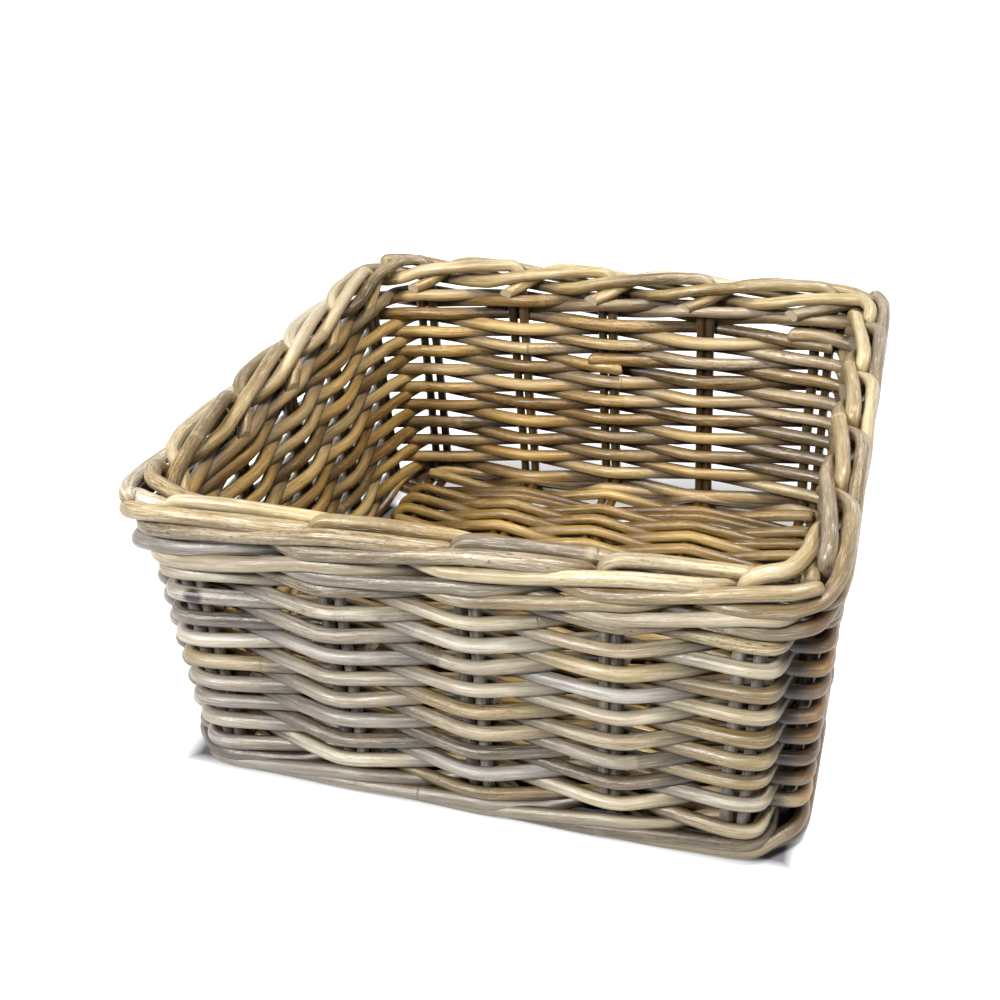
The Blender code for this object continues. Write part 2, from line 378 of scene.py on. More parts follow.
def relaxed_path(corners, spacing, softness):
    """The line through the given points, cut to even steps and eased by a bell curve, so that it bends
    as a springy rod does. Its two ends stay where they are."""
    fewest_points = 8
    bell_widths = 3
    lengths = lengths_along(corners)
    count = max(int(lengths[-1] / spacing), fewest_points)
    even = np.linspace(0, lengths[-1], count)
    line = np.column_stack([np.interp(even, lengths, corners[:, axis]) for axis in range(3)])
    reach = int(bell_widths * softness / spacing)
    bell = np.exp(-0.5 * (np.arange(-reach, reach + 1) * spacing / softness) ** 2)
    bell /= bell.sum()
    before = 2 * line[0] - line[reach:0:-1]
    after = 2 * line[-1] - line[-2:-reach - 2:-1]
    long_line = np.vstack([before, line, after])
    return np.column_stack([np.convolve(long_line[:, axis], bell, "valid") for axis in range(3)])


def across_frames(path):
    """The way along the rod, the way across it that points out of the basket, and the way at right
    angles to both. Out of the basket is sideways on the walls and down on the floor."""
    power = 9
    along = np.gradient(path, axis=0)
    along /= np.linalg.norm(along, axis=1)[:, None]
    from_rim = path - np.array([0.0, 0.0, basket_height])
    shares = from_rim / np.array([rim_half_width, rim_half_width, basket_height])
    outward = np.sign(shares) * np.abs(shares) ** power
    outward -= along * (outward * along).sum(axis=1)[:, None]
    outward /= np.linalg.norm(outward, axis=1)[:, None]
    return along, outward, np.cross(along, outward)


def tube_mesh(name, rings):
    """A closed tube: a row of quads between each ring of points and the next, and triangles from the
    first and the last ring to their middles. The quads are smooth and carry cut 0, the ends cut 1."""
    count, ring_points = rings.shape[:2]
    vertices = np.vstack([rings.reshape(-1, 3), rings[0].mean(axis=0), rings[-1].mean(axis=0)])
    ring = np.arange(ring_points)
    following = np.roll(ring, -1)
    starts = np.arange(count - 1)[:, None] * ring_points
    quads = np.stack([
        starts + ring, starts + following, starts + ring_points + following, starts + ring_points + ring,
    ], axis=-1).reshape(-1, 4)
    last = (count - 1) * ring_points
    centre = count * ring_points
    first_cap = np.column_stack([following, ring, np.full(ring_points, centre)])
    last_cap = np.column_stack([last + ring, last + following, np.full(ring_points, centre + 1)])
    corners_of_faces = np.concatenate([quads.ravel(), first_cap.ravel(), last_cap.ravel()])
    totals = np.concatenate([np.full(len(quads), 4), np.full(2 * ring_points, 3)])
    is_cut = np.concatenate([np.zeros(len(quads)), np.ones(2 * ring_points)])
    mesh = bpy.data.meshes.new(name)
    mesh.vertices.add(len(vertices))
    mesh.vertices.foreach_set("co", vertices.ravel())
    mesh.loops.add(len(corners_of_faces))
    mesh.loops.foreach_set("vertex_index", corners_of_faces)
    mesh.polygons.add(len(totals))
    mesh.polygons.foreach_set("loop_start", np.concatenate([[0], np.cumsum(totals)[:-1]]))
    mesh.polygons.foreach_set("use_smooth", is_cut == 0)
    mesh.update(calc_edges=True)
    mesh.validate()
    ends = mesh.attributes.new("cut", "FLOAT", "FACE")
    ends.data.foreach_set("value", is_cut)
    return mesh


def rod_piece(
    name, corners, width, seed, softness=0.0045, start_width=None, slants=(0.0, 0.0), back_swell_share=0.0,
):
    """A round rod of cane along a relaxed path: its middle line plus a radius times the cosine of the
    turn outwards and the sine sideways. Its line and its width wander a little, it is thicker at its
    joints, it stays inside the basket's box, and it is cut off straight or aslant at each end."""
    spacing = 0.0021
    ring_points = 14
    wander = 0.00035
    wander_length = 0.045
    wander_seeds = (1000, 2000)
    width_wander_share = 0.045
    width_wander_length = 0.05
    joint_count = 30
    joint_gaps = (0.12, 0.42)
    first_joint_shift = 0.4
    weak_joint_power = 1.5
    joint_swell_share = 0.08
    joint_reach = 0.0032
    tone_spread = 0.14
    warmth_spread = 0.22
    scuffing_power = 3
    end_width_share = 0.93
    slant_shares = (1.0, 0.6, 0.2)
    oval_share = 0.05
    skin_step = 3.7
    source = np.random.default_rng(seed)
    path = relaxed_path(np.asarray(corners), spacing, softness)
    count = len(path)
    lengths = lengths_along(path)
    along, outward, beside = across_frames(path)
    path = path + wander * (
        smooth_noise(count, spacing, wander_length, seed + wander_seeds[0])[:, None] * outward
        + smooth_noise(count, spacing, wander_length, seed + wander_seeds[1])[:, None] * beside
    )

    joints = np.cumsum(source.uniform(*joint_gaps, joint_count)) - source.uniform(0.0, first_joint_shift)
    nearest = np.abs(lengths[:, None] - joints[None, :]).argmin(axis=1)
    joint_distances = lengths - joints[nearest]
    joint_strengths = (source.uniform(0.0, 1.0, len(joints)) ** weak_joint_power)[nearest]
    between = np.searchsorted(joints, lengths)
    tones = source.uniform(0.0, 1.0) + source.normal(0.0, tone_spread, len(joints) + 1)
    warmths = source.uniform(0.0, 1.0) + source.normal(0.0, warmth_spread, len(joints) + 1)
    scuffs = source.uniform(0.0, 1.0, len(joints) + 1) ** scuffing_power

    widths = width if start_width is None else np.interp(lengths, *start_width)
    swell = joint_swell_share * joint_strengths * np.exp(-((joint_distances / joint_reach) ** 2))
    width_wander = width_wander_share * smooth_noise(count, spacing, width_wander_length, seed)
    radii = widths / 2 * (1 + width_wander + swell)
    back_shares = np.clip(np.maximum(path[:, 1], -path[:, 0]) / rim_half_width, 0, 1)
    radii *= 1 + back_swell_share * back_shares
    radii[[0, -1]] *= end_width_share
    margins = radii[:, None] * (1 + oval_share)
    corner = np.array([box_half_width, box_half_width, basket_height])
    path = np.clip(path, margins - corner * (1, 1, 0), corner - margins)

    turns = np.arange(ring_points) * 2 * np.pi / ring_points
    oval = 1 + oval_share * np.sin(2 * turns + seed)
    cosines = np.cos(turns) * oval
    sines = np.sin(turns) * oval
    rings = (
        path[:, None, :]
        + radii[:, None, None] * cosines[None, :, None] * outward[:, None, :]
        + radii[:, None, None] * sines[None, :, None] * beside[:, None, :]
    )
    for slant, ends in zip(slants, ((0, 1, 2), (-1, -2, -3))):
        for share, end in zip(slant_shares, ends):
            shift = slant * share * radii[end] * cosines
            rings[end] += shift[:, None] * along[end]
    mesh = tube_mesh(name, rings)

    skin = np.empty((len(mesh.vertices), 3))
    skin[:-2, 0] = np.repeat(lengths, ring_points) + seed * skin_step
    skin[:-2, 1] = np.tile(np.cos(turns), count)
    skin[:-2, 2] = np.tile(np.sin(turns), count)
    skin[-2:] = (seed * skin_step, 0.0, 0.0)
    attribute = mesh.attributes.new("skin", "FLOAT_VECTOR", "POINT")
    attribute.data.foreach_set("vector", skin.ravel())
    for layer, values in (
        ("joint", joint_distances),
        ("joint_strength", joint_strengths),
        ("tone", tones[between]),
        ("warmth", warmths[between]),
        ("scuffing", scuffs[between]),
    ):
        attribute = mesh.attributes.new(layer, "FLOAT", "POINT")
        whole = np.append(np.repeat(values, ring_points), [values[0], values[-1]])
        attribute.data.foreach_set("value", whole)
    piece = bpy.data.objects.new(name, mesh)
    bpy.context.collection.objects.link(piece)
    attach(piece, "root")
    return piece


def carried(start, layer):
    """A value that the rod's mesh carries."""
    return read(start, "Attribute", "Fac", {"attribute_name": layer})


def grain(start, along, around, detail, roughness=0.55):
    """Noise on the rod's skin, stretched: so many waves to the metre along it, and so many round it."""
    skin = read(start, "Attribute", "Vector", {"attribute_name": "skin"})
    stretched = read(start, "Mapping", "Vector", Vector=skin, Scale=(along, around, around))
    return read(
        start, "TexNoise", "Fac", {"noise_dimensions": "3D"},
        Vector=stretched, Scale=1.0, Detail=detail, Roughness=roughness)


class Place:
    """Where a point of a rod lies: its x, y and z, how far it is inside the wall or under the floor, and
    whether it is on the half of the rod that faces out of the basket or into it. The wall is the same
    superellipse as in plan_points: the point's own size on it, less the half width at its height."""

    def __init__(self, start):
        half_gain = 1.6
        inner_reach = (0.001, -0.006)
        below_border = (0.184, 0.173)
        below_wale = (0.172, 0.155)
        x, y, z = parts_of(start, read(start, "TexCoord", "Object"))
        skin = parts_of(start, read(start, "Attribute", "Vector", {"attribute_name": "skin"}))
        half = z * ((rim_half_width - base_half_width) / basket_height) + base_half_width
        power = z * ((rim_squareness - base_squareness) / basket_height) + base_squareness
        sideways = x.maths("POWER", x.maths("ABSOLUTE", x) / half, power)
        endways = x.maths("POWER", x.maths("ABSOLUTE", y) / half, power)
        past_wall = x.maths("POWER", sideways + endways, 1.0 / power) * half - half
        self.x, self.y, self.z = x, y, z
        self.past_floor = stick_height - z
        self.past_shell = x.maths("MAXIMUM", past_wall, self.past_floor)
        self.inner = past_wall.between(*inner_reach)
        self.below_border = z.between(*below_border)
        self.below_wale = z.between(*below_wale)
        self.faces_out = (skin[1] * half_gain).clamped()
        self.faces_in = (skin[1] * -half_gain).clamped()


def plain_cane(start, place, patches, lightness, warmth_shift, stake_share):
    """Grey cane and straw-coloured cane, each from dark to light, mixed by warmth. The tone is that of
    the length between two joints, with patches. The warmth is the length's too, with a slow drift, more
    to the right outside, more to the left inside, less high up, and much less on stakes in the wall."""
    tone_gain = 0.55
    patch_gain = 1.1
    tone_loss = 0.36
    warmth_gain = 0.8
    drift_gain = 0.8
    warmth_loss = 0.18
    outside_slope = 1.8
    inside_slope_loss = 3.4
    loss_upwards = 1.6
    inside_warmth = 0.12
    stake_loss = 1.4
    greys = (
        (0.08, (0.098, 0.084, 0.068)), (0.38, (0.240, 0.218, 0.194)),
        (0.62, (0.400, 0.378, 0.360)), (0.88, (0.600, 0.590, 0.560)),
    )
    straws = (
        (0.08, (0.115, 0.080, 0.034)), (0.38, (0.285, 0.212, 0.098)),
        (0.62, (0.450, 0.365, 0.195)), (0.88, (0.640, 0.565, 0.375)),
    )
    tone = carried(start, "tone") * tone_gain + patches * patch_gain - tone_loss + lightness
    drift = grain(start, along=5.0, around=0.4, detail=1.0)
    slope = outside_slope - place.inner * inside_slope_loss
    # Warmth set by place: more to the right outside, more to the left inside, less high up.
    warmth_by_place = place.x * place.below_border * slope - place.z * loss_upwards + place.inner * inside_warmth
    warmth = carried(start, "warmth") * warmth_gain + drift * drift_gain + warmth_by_place - warmth_loss
    warmth = warmth + warmth_shift - place.below_wale * stake_share * stake_loss
    grey = read(start, "ValToRGB", "Color", {"stops": greys}, Fac=tone.clamped())
    straw = read(start, "ValToRGB", "Color", {"stops": straws}, Fac=tone.clamped())
    return warmth.clamped().mixed(grey, straw)


def worn_cane_with_painted_glints(start, plain, streaks, fine, dull):
    """Dark streaks, dull grain and dark specks, more of them on a scuffed length, and painted glints."""
    streak_ramp = (0.56, 0.40)
    streak_least_share = 0.6
    streak_scuffed_share = 0.4
    streak_tint = (0.56, 0.48, 0.38)
    dull_least_share = 0.4
    dull_scuffed_share = 0.5
    dull_tint = (0.62, 0.55, 0.45)
    painted_glint_ramp = (0.57, 0.66)
    painted_glint_share = 0.45
    painted_glint_colour = (0.70, 0.69, 0.63)
    speck_ramp = (0.57, 0.63)
    speck_least_share = 0.15
    speck_scuffed_share = 0.85
    speck_tint = (0.24, 0.18, 0.12)
    scuffing = carried(start, "scuffing")
    streak_share = streaks.between(*streak_ramp) * (scuffing * streak_scuffed_share + streak_least_share)
    streaked = streak_share.tinted(plain, streak_tint)
    dulled = (dull * (scuffing * dull_scuffed_share + dull_least_share)).tinted(streaked, dull_tint)
    # Painted highlight: pale flecks on the fine grain stand in for glints of light.
    with_painted_glints = (fine.between(*painted_glint_ramp) * painted_glint_share).mixed(dulled, painted_glint_colour)
    specks = grain(start, along=240.0, around=4.5, detail=3.0, roughness=0.75).between(*speck_ramp)
    speck_share = specks * (scuffing * speck_scuffed_share + speck_least_share)
    return speck_share.tinted(with_painted_glints, speck_tint)


def joint_ring(start, streaks):
    """How far a point is in the thin dark ring at a joint, and in the pale band beside it."""
    edge_waver = 0.0020
    ring_gain = 1100.0
    ring_gaps = (0.35, 0.55)
    band_distance = 0.003
    band_gain = 260.0
    joint = carried(start, "joint")
    strength = carried(start, "joint_strength")
    distance = joint.maths("ABSOLUTE", joint + (streaks * edge_waver - edge_waver / 2))
    ring = (1.0 - distance * ring_gain).clamped() * strength * streaks.between(*ring_gaps)
    band = (1.0 - joint.maths("ABSOLUTE", joint - band_distance) * band_gain).clamped() * strength
    return ring, band


def jointed_cane(worn, ring, band):
    ring_share = 0.8
    ring_tint = (0.22, 0.15, 0.09)
    band_share = 0.35
    band_colour = (0.58, 0.50, 0.36)
    return (ring * ring_share).tinted((band * band_share).mixed(worn, band_colour), ring_tint)


def with_painted_warm_shade(place, colour, inside_shade_tint):
    """Painted warm shade: brown inside, more so low down and to the left and less at the rim, and on
    the right wall's outside.
    """
    depths = (0.19, 0.03)
    depth_share = 0.45
    left_reach = (0.14, -0.14)
    left_share = 0.45
    least_share = 0.40
    rim_band = (0.192, 0.166)
    at_rim_share = 0.3
    right_edge = (0.172, 0.184)
    right_top = (0.190, 0.165)
    right_shade_share = 0.9
    right_shade_tint = (0.60, 0.40, 0.24)
    # Painted shade: the inner faces and the right wall's outside are browned where shade falls.
    shares = place.z.between(*depths) * depth_share + place.x.between(*left_reach) * left_share
    under_rim = place.z.between(*rim_band) * (1 - at_rim_share) + at_rim_share
    inside = (place.inner * (shares + least_share) * under_rim).clamped()
    shade_on_right = place.x.between(*right_edge) * (1.0 - place.inner) * place.z.between(*right_top)
    return (shade_on_right * right_shade_share).tinted(inside.tinted(colour, inside_shade_tint), right_shade_tint)


def with_painted_crevice_shade(place, colour, stake_share):
    """Painted shade in the crevices of the weave, where rods lie deep in the wall or the floor and look
    out, or look in, past others. A stake in the wall has painted shade on its inner half as well."""
    outer_crevices = (0.0072, -0.0004)
    outer_shade_tint = (0.05, 0.04, 0.03)
    lit_stake_share = 0.3
    inner_crevices = (-0.0082, -0.0010)
    inner_shade_share = 0.85
    inner_shade_tint = (0.16, 0.095, 0.045)
    stake_shade_tint = (0.50, 0.39, 0.22)
    in_wall = place.below_wale * stake_share
    # Painted shade: crevices and a stake's inner half are darkened where the weave would shade them.
    outer_crevice_shade = place.faces_out * place.past_shell.between(*outer_crevices) * place.below_border
    inner_crevice_shade = place.faces_in * place.past_shell.between(*inner_crevices) * place.below_border
    outside = (outer_crevice_shade * (1.0 - in_wall * lit_stake_share)).clamped().tinted(colour, outer_shade_tint)
    inside = (inner_crevice_shade * inner_shade_share).tinted(outside, inner_shade_tint)
    return (in_wall * place.faces_in).tinted(inside, stake_shade_tint)


def knotted_cane(start, colour, streaks, knot):
    """A black knot with an uneven edge round the given point."""
    knot_edge = (0.0086, 0.0056)
    edge_waver = 0.002
    knot_tint = (0.07, 0.06, 0.06)
    here = read(start, "TexCoord", "Object")
    distance = read(start, "VectorMath", "Value", {"operation": "DISTANCE"}, _0=here, _1=knot)
    return (distance + streaks * edge_waver).between(*knot_edge).tinted(colour, knot_tint)


def shaded_floor(place, colour):
    """The front part of the floor's weave is darker."""
    from_back_to_front = (0.09, -0.05)
    floor_levels = (-0.012, -0.004)
    shade_share = 0.75
    shade_tint = (0.3, 0.27, 0.24)
    on_floor = place.y.between(*from_back_to_front) * place.past_floor.between(*floor_levels)
    return (on_floor * shade_share).tinted(colour, shade_tint)


def cut_cane(start, colour):
    """The colour on a rod's skin, and pale pith with brown spots on its cut ends."""
    spot_share = 0.5
    pith = (0.72, 0.61, 0.44)
    spots = (0.42, 0.33, 0.22)
    ends = (grain(start, along=20.0, around=9.0, detail=2.0) * spot_share).mixed(pith, spots)
    return carried(start, "cut").mixed(colour, ends)


def cane(name, lightness, warmth_shift, inside_shade_tint, stake_share=0.0, knot=None):
    """Grey-washed cane. Each length between two joints has a tone of its own, greyer or more like straw.
    Fine streaks, specks and dark rings at the joints lie over it, with painted glints on the grain. Painted
    shade darkens the crevices of the weave and browns the inside and the right wall's outside. The relief
    is streaks and grain less the rings. Cut ends and dull grain are rougher."""
    dull_ramp = (0.40, 0.62)
    streak_relief = 0.5
    fine_relief = 0.35
    ring_relief = 0.5
    relief_share = 0.7
    relief_depth = 0.0006
    least_roughness = 0.10
    cut_roughness = 0.4
    dull_roughness = 0.16
    patch_roughness = 0.3
    made, start = new_material(name)
    place = Place(start)
    patches = grain(start, along=11.0, around=0.5, detail=3.0, roughness=0.6)
    streaks = grain(start, along=22.0, around=2.6, detail=4.0, roughness=0.7)
    fine = grain(start, along=80.0, around=6.0, detail=3.0, roughness=0.7)
    dull = 1.0 - fine.between(*dull_ramp)
    ring, band = joint_ring(start, streaks)
    colour = plain_cane(start, place, patches, lightness, warmth_shift, stake_share)
    # Painted glints come with the wear; painted shade in the crevices, inside and on the right wall's outside
    # follows.
    colour = jointed_cane(worn_cane_with_painted_glints(start, colour, streaks, fine, dull), ring, band)
    colour = with_painted_crevice_shade(place, with_painted_warm_shade(place, colour, inside_shade_tint), stake_share)
    if knot is not None:
        colour = knotted_cane(start, colour, streaks, knot)
    colour = cut_cane(start, shaded_floor(place, colour))
    relief = streaks * streak_relief + fine * fine_relief - ring * ring_relief
    bump = read(start, "Bump", "Normal", Height=relief, Strength=relief_share, Distance=relief_depth)
    roughness = carried(start, "cut") * cut_roughness + dull * dull_roughness + patches * patch_roughness
    skin = read(
        start, "BsdfPrincipled", "BSDF", Base_Color=colour, Normal=bump,
        Roughness=(roughness + least_roughness).clamped(), Specular_IOR_Level=0.5)
    start.node("OutputMaterial", Surface=skin)
    return made


rim_top = np.array([
    0.1885, 0.1872, 0.1865, 0.1858, 0.1872,
    0.1878, 0.1885, 0.1890, 0.1895, 0.1900,
    0.1905, 0.1905, 0.1912, 0.1925, 0.1926,
    0.1925, 0.1922, 0.1915, 0.1908, 0.1895,
])
border_depth = 0.0225
cut_end_shares = (0.10, 0.02, 0.12, -0.10)
corner_inset = 0.0010
corner_reach = 0.35


def border_height(places, height_share):
    """The height at a share of the border's depth, which follows the slope of the rim."""
    return round_values(places, rim_top) - border_depth * (1 - np.asarray(height_share))


def border_run(pair):
    """From the top of a stake: folded down, behind the next pair, in front of two more, then in under
    the fold of the fourth pair and cut off on the inside. Each step is a place round the basket, an
    offset outwards and a share of the border's depth. The run is drawn in a little at the corners."""
    steps = (
        (place_near(pair, -0.0042), 0.0000, 0.79),
        (place_near(pair, 0.0010), 0.0000, 1.00),
        (pair + 0.35, -0.0030, 0.98),
        (place_near(pair + 1, -0.0060), -0.0080, 0.80),
        (place_near(pair + 1, 0.0060), -0.0086, 0.70),
        (pair + 1.35, -0.0074, 0.46),
        (pair + 1.56, -0.0010, 0.31),
        (place_near(pair + 2, -0.0170), 0.0056, 0.26),
        (place_near(pair + 2, -0.0080), 0.0082, 0.27),
        (place_near(pair + 2, 0.0080), 0.0084, 0.33),
        (pair + 2.50, 0.0092, 0.53),
        (place_near(pair + 3, -0.0080), 0.0086, 0.72),
        (place_near(pair + 3, 0.0080), 0.0086, 0.81),
        (pair + 3.50, 0.0082, 0.86),
        (place_near(pair + 4, -0.0240), 0.0055, 0.78),
        (place_near(pair + 4, -0.0140), -0.0010, 0.62),
        (place_near(pair + 4, -0.0040), -0.0075, 0.42),
        (place_near(pair + 4, 0.0120), -0.0098, cut_end_shares[(pair + 4) // pairs_per_side % sides]),
    )
    places, offsets, height_shares = np.array(steps).T
    from_corner = np.mod(places + 0.5 + pairs_per_side / 2, pairs_per_side) - pairs_per_side / 2
    offsets = offsets - corner_inset * np.exp(-((from_corner / corner_reach) ** 2))
    return plan_points(places, offsets, border_height(places, height_shares))


passes_per_zone = 7
foot_height = stick_height + foot_bend
stick_over = 0.0050
weaver_over = 0.0066
feet = plan_points(np.arange(pair_count), np.zeros(pair_count), np.full(pair_count, foot_height))


def stick_x(column, y):
    """Where a front-to-back stick of the floor lies, from its feet in the front and the back wall."""
    front, back = feet[column], feet[3 * pairs_per_side - 1 - column]
    return np.interp(y, (front[1], back[1]), (front[0], back[0]))


def lane_y(column, x):
    """Where a left-to-right stick of the floor lies, counted from the front."""
    left, right = feet[pair_count - 1 - column], feet[pairs_per_side + column]
    return np.interp(x, (left[0], right[0]), (left[1], right[1]))


def floor_level(lane, column, reach):
    """Over the sticks at every other crossing and under them at the rest."""
    over = 1 if (lane + column) % 2 == 0 else -1
    return stick_height + over * reach


def lane_of_pair(column):
    return 1 + column * (passes_per_zone + 1)


def wall_point(pair, across, height):
    return plan_points(np.array([place_near(pair, across)]), np.zeros(1), np.array([height]))[0]


foot_bend_share = 0.3
stake_top_share = 0.25
tip_share = 0.05


def stake_corners(side, column):
    """The whole run of one stake rod, with the length of its thick border end."""
    pair = side * pairs_per_side + column
    opposite = (3 * pairs_per_side - 1 - pair if side % 2 == 0 else pairs_per_side - 1 - pair) % pair_count
    near_across = -pair_spacings[pair] / 2
    far_across = pair_spacings[opposite] / 2
    near = wall_point(pair, near_across, foot_height)
    far = wall_point(opposite, far_across, foot_height)
    along = (far - near) / np.linalg.norm(far - near)
    down = np.array([0.0, 0.0, -foot_bend])
    bend = foot_bend_share * foot_bend * along
    points = [
        wall_point(pair, near_across, border_height(pair, stake_top_share)),
        near,
        near + bend + (1 - foot_bend_share) * down,
        near + foot_bend * along + down,
    ]
    if side % 2 == 1:
        lane_column = column if side == 1 else pairs_per_side - 1 - column
        lane = lane_of_pair(lane_column)
        for crossing in range(pairs_per_side):
            stick = pairs_per_side - 1 - crossing if side == 1 else crossing
            x = stick_x(stick, lane_y(lane_column, 0.0))
            point = near + along * (x - near[0]) / along[0]
            points.append(np.array([x, point[1], floor_level(lane, stick, stick_over)]))
    points += [
        far - foot_bend * along + down,
        far - bend + (1 - foot_bend_share) * down,
        far,
        wall_point(opposite, far_across, border_height(opposite, tip_share)),
    ]
    border = border_run(pair)
    run = np.linalg.norm(np.diff(border, axis=0), axis=1).sum()
    return np.vstack([border[::-1], np.array(points)]), run


stake_cane = cane(
    "stake_cane", lightness=0.17, warmth_shift=0.62, inside_shade_tint=(1.0, 0.80, 0.44), stake_share=1.0)
border_slant = -1.1
stake_softness = 0.0034
taper_length = 0.022
stake_seed = 100
for side, side_name in enumerate(("front", "right", "back", "left")):
    for column in range(pairs_per_side):
        node = f"stake_{side_name}_{column + 1}"
        corners, run = stake_corners(side, column)
        seed = stake_seed + side * pairs_per_side + column
        taper = ((run, run + taper_length), (border_diameters[side], stake_diameter))
        stake = rod_piece(
            node + "_cane", corners, None, seed, softness=stake_softness, start_width=taper,
            slants=(border_slant, 0.0))
        stake.data.materials.append(stake_cane)
        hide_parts(node)


# Side weave
# Eighteen level rattan rods, each one round of the basket. A rod lies outside at one pair of stakes and
# inside at the next, and the rod above it does the opposite, so the wall looks like brickwork. Its two
# ends lap on the inside, a little under and over each other.

weave_offset = 0.0072
side_levels = 18
level_pitch = 0.00760
corner_hold = 0.0058
outside_level = np.array([
    0.0226, 0.0180, 0.0173, 0.0208, 0.0278,
    0.0240, 0.0225, 0.0220, 0.0220, 0.0225,
    0.0230, 0.0225, 0.0225, 0.0225, 0.0230,
    0.0225, 0.0220, 0.0220, 0.0220, 0.0225,
])
inside_level = np.array([
    0.0232, 0.0210, 0.0205, 0.0225, 0.0262,
    0.0250, 0.0235, 0.0230, 0.0230, 0.0235,
    0.0243, 0.0227, 0.0238, 0.0229, 0.0226,
    0.0230, 0.0230, 0.0230, 0.0230, 0.0230,
])
first_rod_drops = np.array([
    0.0025, 0.0015, 0.0007, 0.0020, 0.0062,
    0.0030, 0.0020, 0.0015, 0.0020, 0.0030,
    0.0030, 0.0035, 0.0030, 0.0035, 0.0025,
    0.0020, 0.0020, 0.0020, 0.0020, 0.0020,
])
seam_lap = 0.0120
seam_lift = 0.0036
seam_tuck = 0.0015
seam_slant = 0.8
seam_stride = 3
seams_in_view = {13: 12, 17: 10}
side_seed = 200
side_swell_share = 0.12

weaver_cane = cane(
    "weaver_cane", lightness=0.15, warmth_shift=-0.05, inside_shade_tint=(0.90, 0.71, 0.39),
    knot=(-0.1505, -0.1945, 0.1318))
for level in range(side_levels):
    rod = (level + 1) % 2
    first = seams_in_view.get(level, rod + 2 * (seam_stride * level % pairs_per_side))
    last = first + pair_count
    inside_end = -weave_offset - seam_tuck
    start_height, end_height = inside_level[[first % pair_count, last % pair_count]]
    steps = [(place_near(first, -seam_lap), inside_end, start_height - seam_lift)]
    for pair in range(first, last + 1):
        inside = (pair - rod) % 2 == 0
        offset = -weave_offset if inside else weave_offset
        height = (inside_level if inside else outside_level)[pair % pair_count]
        height += {first: -seam_lift, last: seam_lift}.get(pair, 0.0)
        steps.append((place_near(pair, -corner_hold), offset, height))
        steps.append((place_near(pair, corner_hold), offset, height))
    steps.append((place_near(last, seam_lap), inside_end, end_height + seam_lift))
    places, offsets, heights = np.array(steps).T
    heights = heights + level * level_pitch
    if level == 0:
        heights -= round_values(places, first_rod_drops)
    node = f"side_weaver_{level + 1}"
    weaver = rod_piece(
        node + "_cane", plan_points(places, offsets, heights), weaver_diameter, side_seed + level,
        slants=(seam_slant, -seam_slant), back_swell_share=side_swell_share)
    weaver.data.materials.append(weaver_cane)
    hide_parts(node)


# Upper wale
# Three rattan rods locked together under the border. Each comes out low, goes in front of two pairs of
# stakes, goes in high and passes behind the third.

upper_level = np.array([
    0.1575, 0.1597, 0.1565, 0.1597, 0.1633,
    0.1615, 0.1610, 0.1610, 0.1615, 0.1625,
    0.1632, 0.1625, 0.1632, 0.1615, 0.1605,
    0.1600, 0.1600, 0.1595, 0.1590, 0.1585,
])
upper_rods = 3
upper_spread = 0.0043
upper_inside_rise = 0.0055
upper_out_rise = 0.0005
wale_bulge = 0.0010
upper_seed = 300
upper_at_pairs = (
    (-weave_offset, upper_inside_rise), (weave_offset, -upper_spread), (weave_offset, upper_spread),
)
upper_after_pairs = (
    (0.0, upper_out_rise), (weave_offset + wale_bulge, 0.0), (0.0, upper_inside_rise),
)
wale_cane = cane("wale_cane", lightness=0.13, warmth_shift=0.00, inside_shade_tint=(0.88, 0.69, 0.41))
for rod in range(upper_rods):
    first = rod
    last = pair_count if rod == upper_rods - 1 else rod + pair_count + 1
    steps = []
    for pair in range(first, last + 1):
        step = (pair - rod) % upper_rods
        if pair > first:
            steps.append((place_near(pair, -corner_hold), *upper_at_pairs[step]))
        if pair < last:
            steps.append((place_near(pair, corner_hold), *upper_at_pairs[step]))
            steps.append((pair + 0.5, *upper_after_pairs[step]))
    places, offsets, lifts = np.array(steps).T
    heights = round_values(places, upper_level) + lifts
    node = f"upper_wale_rod_{rod + 1}"
    wale = rod_piece(
        node + "_cane", plan_points(places, offsets, heights), weaver_diameter, upper_seed + rod,
        back_swell_share=side_swell_share)
    wale.data.materials.append(wale_cane)
    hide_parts(node)


# Lower wale
# Four rattan rods lock the side to the floor. Each comes out low, climbs in front of three pairs of
# stakes, goes in high and passes behind the fourth.

lower_rods = 4
lower_top = np.array([
    0.0115, 0.0144, 0.0100, 0.0153, 0.0135,
    0.0130, 0.0130, 0.0130, 0.0130, 0.0130,
    0.0130, 0.0130, 0.0130, 0.0130, 0.0130,
    0.0130, 0.0130, 0.0130, 0.0130, 0.0125,
])
lower_middle = np.array([
    0.0055, 0.0075, 0.0055, 0.0078, 0.0080,
    0.0075, 0.0075, 0.0075, 0.0075, 0.0075,
    0.0075, 0.0075, 0.0075, 0.0075, 0.0075,
    0.0075, 0.0075, 0.0075, 0.0075, 0.0065,
])
lowest_height = 0.0045
lower_going_in = 0.0180
lower_seed = 420
low_inset = 0.0030
middle_bulge = 0.0008
top_bulge = 0.0004
coming_out = ((0.28, -0.0040, 0.0105), (0.48, 0.0005, lowest_height + 0.0005))
going_in_offset = 0.0012
going_in_sag = 0.0035
lower_cane = cane("lower_cane", lightness=0.22, warmth_shift=0.02, inside_shade_tint=(0.88, 0.69, 0.41))
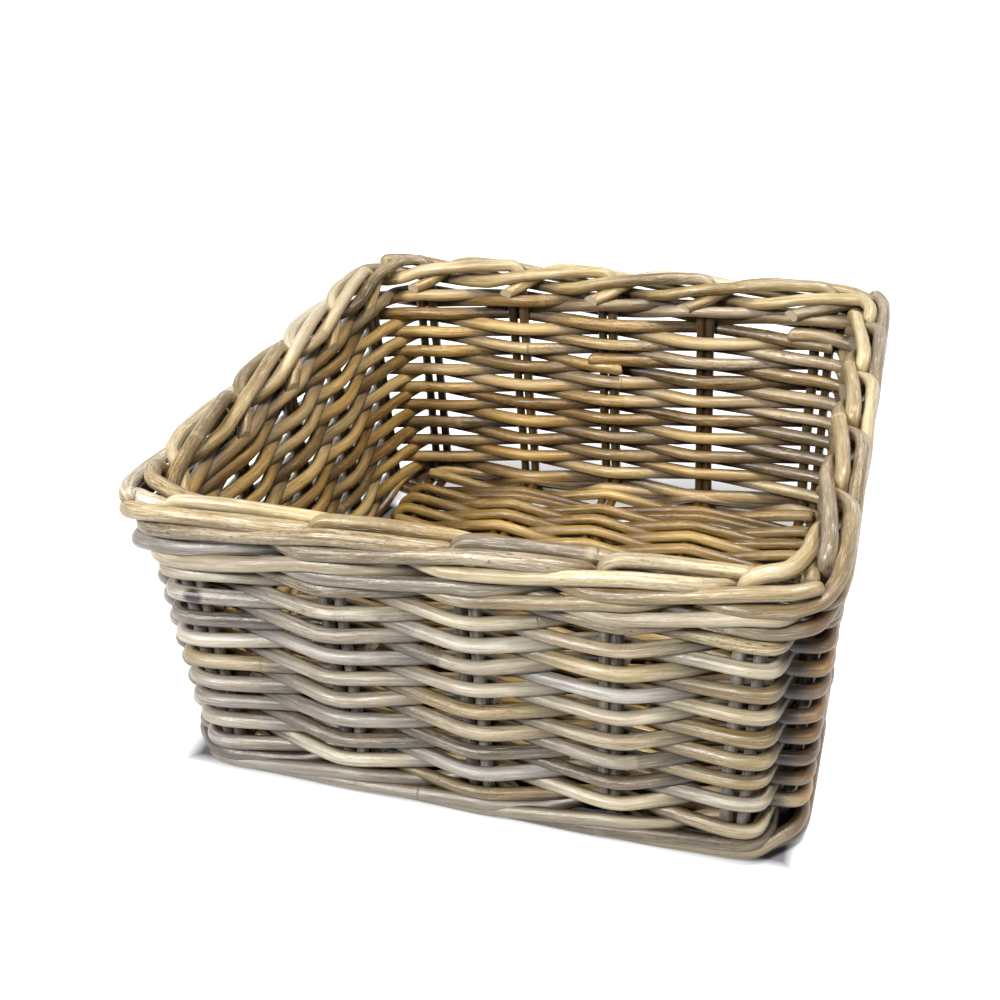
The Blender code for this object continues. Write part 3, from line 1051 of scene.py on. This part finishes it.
for rod in range(lower_rods):
    first = rod
    last = rod + pair_count
    steps = []
    for pair in range(first, last + 1):
        step = (pair - rod) % lower_rods
        offset, height = (
            (-weave_offset, lower_going_in),
            (weave_offset - low_inset, lowest_height),
            (weave_offset + middle_bulge, lower_middle[pair % pair_count]),
            (weave_offset + top_bulge, lower_top[pair % pair_count]),
        )[step]
        if pair > first:
            steps.append((place_near(pair, -corner_hold), offset, height))
        if pair < last:
            steps.append((place_near(pair, corner_hold), offset, height))
            if step == 0:
                steps += [(pair + ahead, out, low) for ahead, out, low in coming_out]
            if step == lower_rods - 1:
                steps.append((pair + 0.5, going_in_offset, (height + lower_going_in) / 2 - going_in_sag))
    places, offsets, heights = np.array(steps).T
    node = f"lower_wale_rod_{rod + 1}"
    wale = rod_piece(node + "_cane", plan_points(places, offsets, heights), weaver_diameter, lower_seed + rod)
    wale.data.materials.append(lower_cane)
    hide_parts(node)


# Floor weave
# Rattan rods go from left to right over and under the sticks of the floor, which are the stakes' middle
# parts, and turn back round the outer ones.

floor_cane = cane("floor_cane", lightness=0.20, warmth_shift=0.62, inside_shade_tint=(1.0, 0.83, 0.47))
floor_diameter = 0.0083
floor_softness = 0.003
floor_seed = 500
pass_overrun = 0.0050
turn_reach = 0.0125
beside_pair = (pair_spacings.mean() + stake_diameter + weaver_diameter) / 2
last_column = pairs_per_side - 1


def pass_y(zone, index, x):
    """Where a pass of the weave lies between two left-to-right sticks, or beside the outermost one."""
    if zone == 0:
        return lane_y(0, x) - beside_pair
    if zone == pairs_per_side:
        return lane_y(last_column, x) + beside_pair
    near = lane_y(zone - 1, x) + beside_pair
    far = lane_y(zone, x) - beside_pair
    return near + (far - near) * index / (passes_per_zone - 1)


for zone in range(pairs_per_side + 1):
    passes = 1 if zone in (0, pairs_per_side) else passes_per_zone
    first_lane = 0 if zone == 0 else lane_of_pair(zone - 1) + 1
    points = []
    for index in range(passes):
        direction = 1 if index % 2 == 0 else -1
        columns = list(range(pairs_per_side))[::direction]
        middle_y = pass_y(zone, index, 0.0)
        crossings = [stick_x(column, middle_y) for column in columns]
        levels = [floor_level(first_lane + index, column, weaver_over) for column in columns]
        start_x = crossings[0] - direction * pass_overrun
        end_x = crossings[-1] + direction * pass_overrun
        points.append((start_x, pass_y(zone, index, start_x), levels[0]))
        for x, level in zip(crossings, levels):
            points.append((x, pass_y(zone, index, x), level))
        points.append((end_x, pass_y(zone, index, end_x), levels[-1]))
        if index < passes - 1:
            turn_x = crossings[-1] + direction * turn_reach
            points.append((turn_x, pass_y(zone, index + 0.5, turn_x), stick_height))
    node = f"floor_weaver_{zone + 1}"
    weaver = rod_piece(
        node + "_cane", np.array(points), floor_diameter, floor_seed + zone, softness=floor_softness)
    weaver.data.materials.append(floor_cane)
    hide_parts(node)
